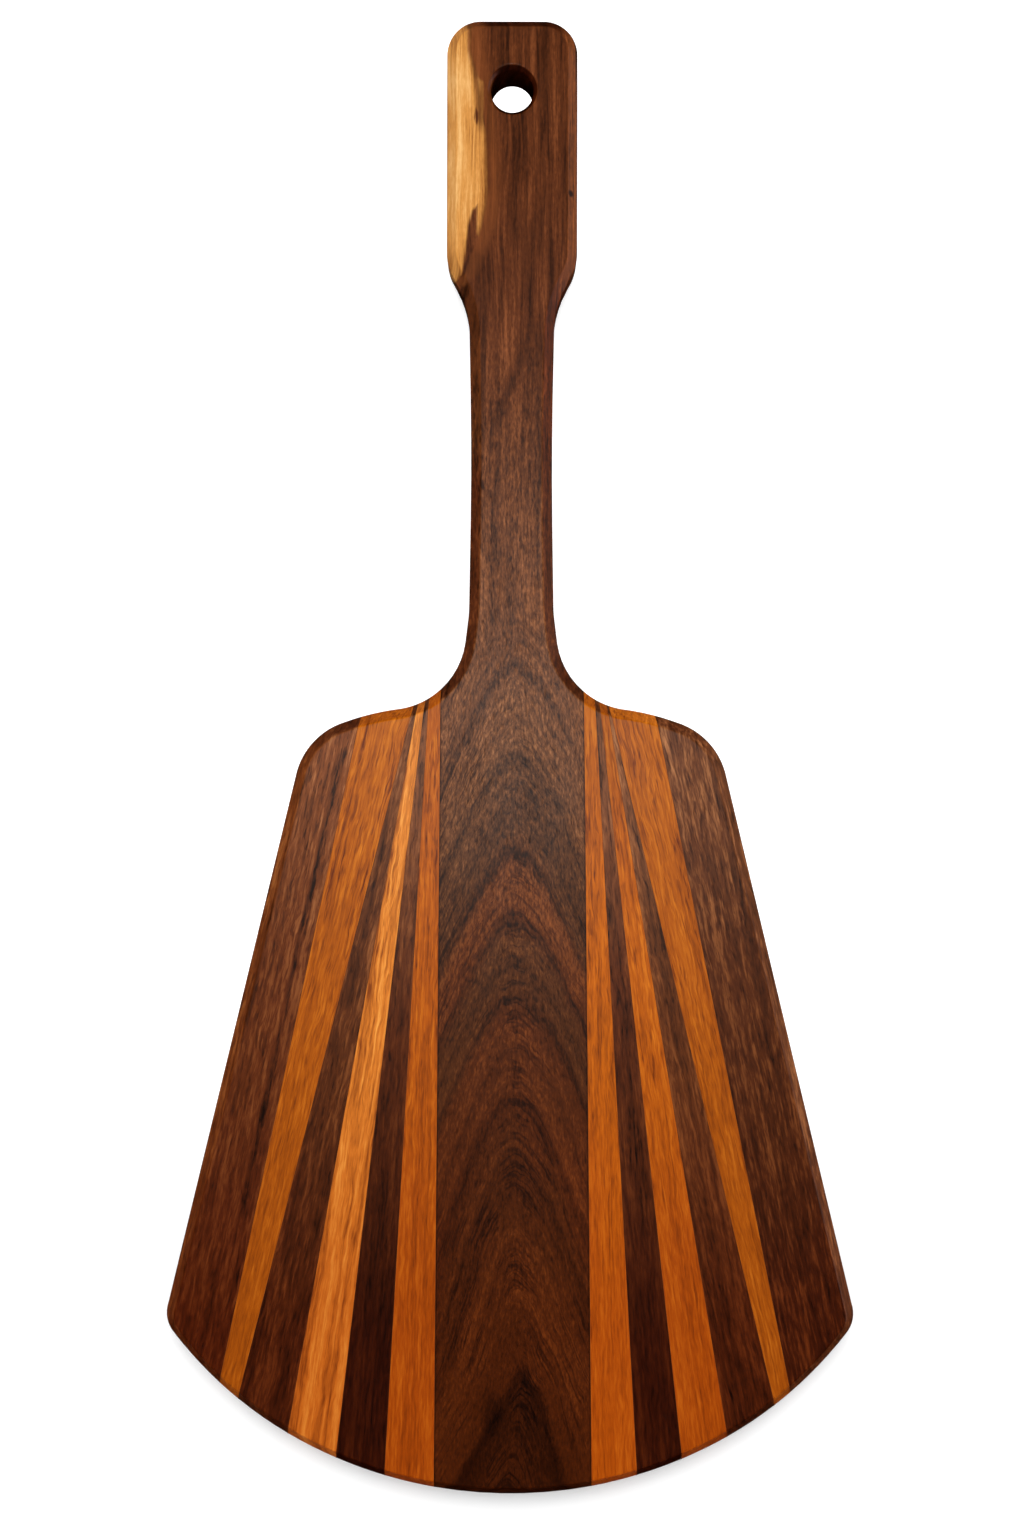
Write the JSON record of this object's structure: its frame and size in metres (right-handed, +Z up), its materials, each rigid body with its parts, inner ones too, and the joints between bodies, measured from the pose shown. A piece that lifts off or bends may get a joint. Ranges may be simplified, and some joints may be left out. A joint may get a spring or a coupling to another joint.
{
  "type": "paddle charcuterie board",
  "caption": "Long-handled serving paddle of laminated wood: a centre plank that carries the handle, tapered strips fanning to each side, bevelled edges and a hang hole.",
  "frame": {"origin": "middle of the board's length and greatest width, on its underside", "axes": "+Z up out of the serving face, +Y towards the end of the handle, +X to the right seen from above with the handle away from the viewer"},
  "size_m": [0.2846, 0.61, 0.019],
  "materials": {
    "plank_walnut": "oiled, satin, with cathedral figure and light sapwood in the head",
    "strip_walnut": "oiled, satin, straight grain",
    "cherry": "oiled, satin, straight grain with fine dark lines",
    "tan_wood": "oiled, satin, light with brown streaks",
    "glue": "thin dried glue film, sanded flush"
  },
  "bodies": {
    "root": {"centre_plank": "plank_walnut", "left_inner_cherry_strip": "cherry", "left_inner_walnut_strip": "strip_walnut", "left_tan_strip": "tan_wood", "left_middle_walnut_strip": "strip_walnut", "left_wide_cherry_strip": "cherry", "left_edge_walnut_strip": "strip_walnut", "right_inner_cherry_strip": "cherry", "right_inner_walnut_strip": "strip_walnut", "right_middle_cherry_strip": "cherry", "right_middle_walnut_strip": "strip_walnut", "right_wide_cherry_strip": "cherry", "right_edge_walnut_strip": "strip_walnut", "left_glue_line_1": "glue", "left_glue_line_2": "glue", "left_glue_line_3": "glue", "left_glue_line_4": "glue", "left_glue_line_5": "glue", "left_glue_line_6": "glue", "right_glue_line_1": "glue", "right_glue_line_2": "glue", "right_glue_line_3": "glue", "right_glue_line_4": "glue", "right_glue_line_5": "glue", "right_glue_line_6": "glue"}
  },
  "joints": []
}
